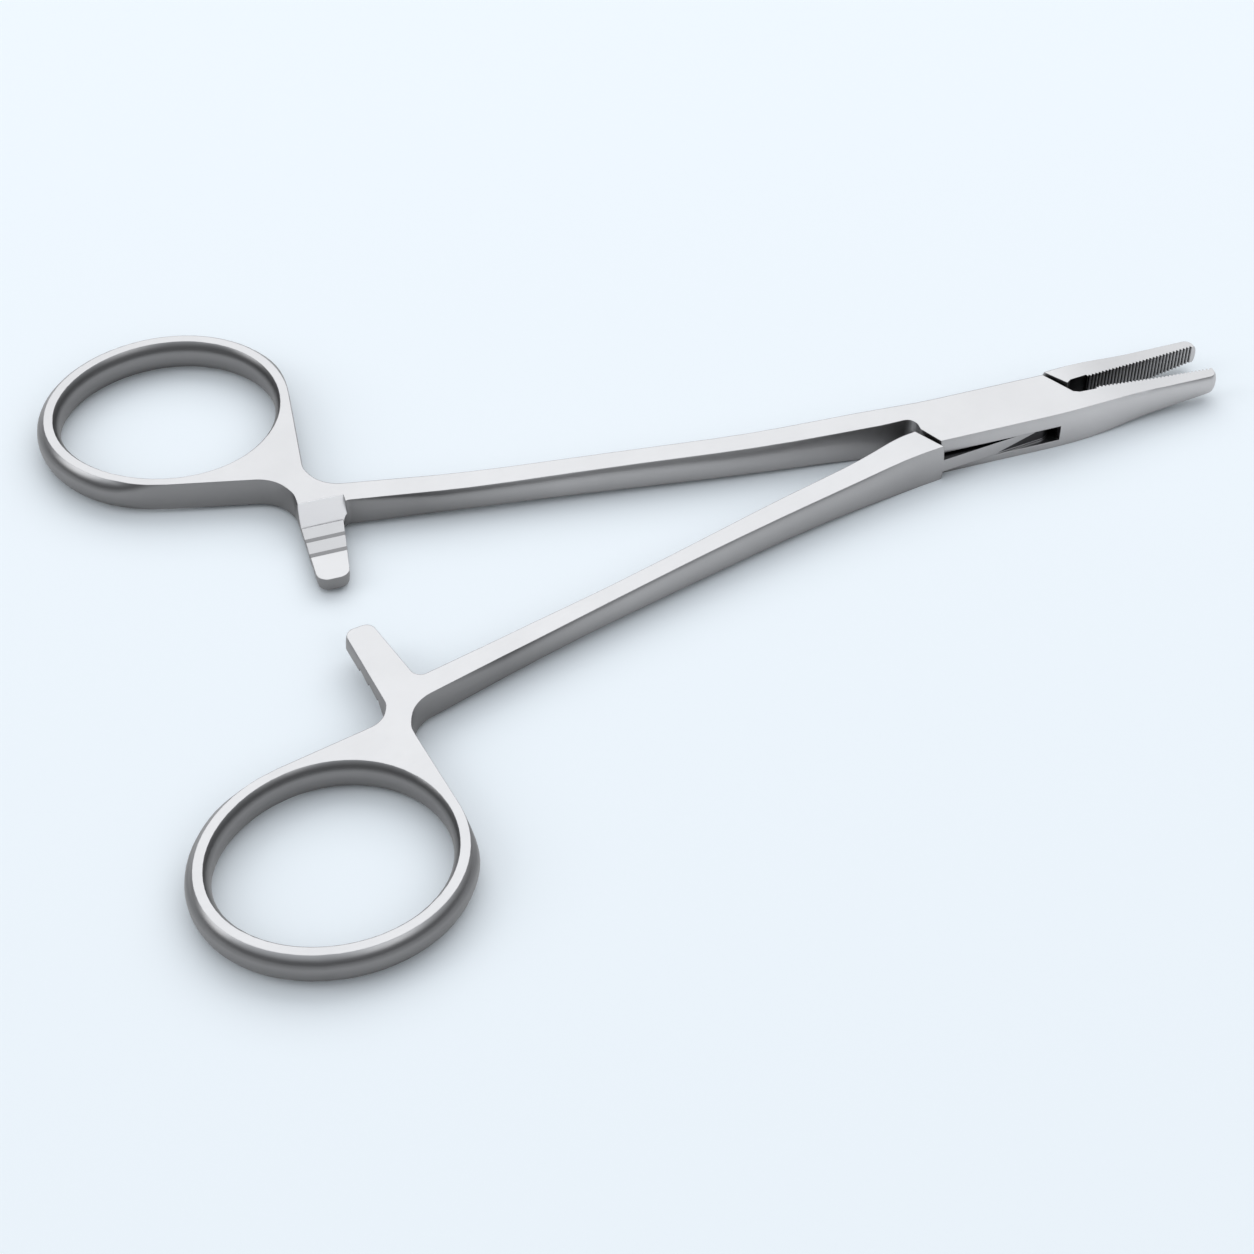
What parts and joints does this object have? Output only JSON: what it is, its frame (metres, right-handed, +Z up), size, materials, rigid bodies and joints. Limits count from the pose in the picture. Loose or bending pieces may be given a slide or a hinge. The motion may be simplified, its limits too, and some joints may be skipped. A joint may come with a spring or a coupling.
{
  "type": "surgical needle holder",
  "caption": "Ring-handled needle holder: slotted half and tongue half joined by a box lock and pin, with ratchet arms and short cross-serrated jaws, shown part open.",
  "frame": {"origin": "on the pivot axis of the box lock, at the flat underside of the box that the instrument lies on", "axes": "+X along the closed centre line from the finger rings to the jaw tips, +Y towards the shank of the slotted half, +Z up along the pivot axis"},
  "size_m": [0.1321, 0.0964, 0.005],
  "materials": {
    "steel": "satin brushed stainless steel",
    "pin_steel": "ground flush, satin brushed stainless steel"
  },
  "bodies": {
    "slotted_half": {"female_half": "steel", "pivot_pin": "pin_steel"},
    "tongue_half": {"male_half": "steel"}
  },
  "joints": [
    {"name": "box_lock_pivot", "type": "hinge", "parent": "slotted_half", "child": "tongue_half", "pos_m": [0, 0, 0.0025], "axis": [0, 0, 1], "range_deg": [-8.5, 51.5]}
  ]
}
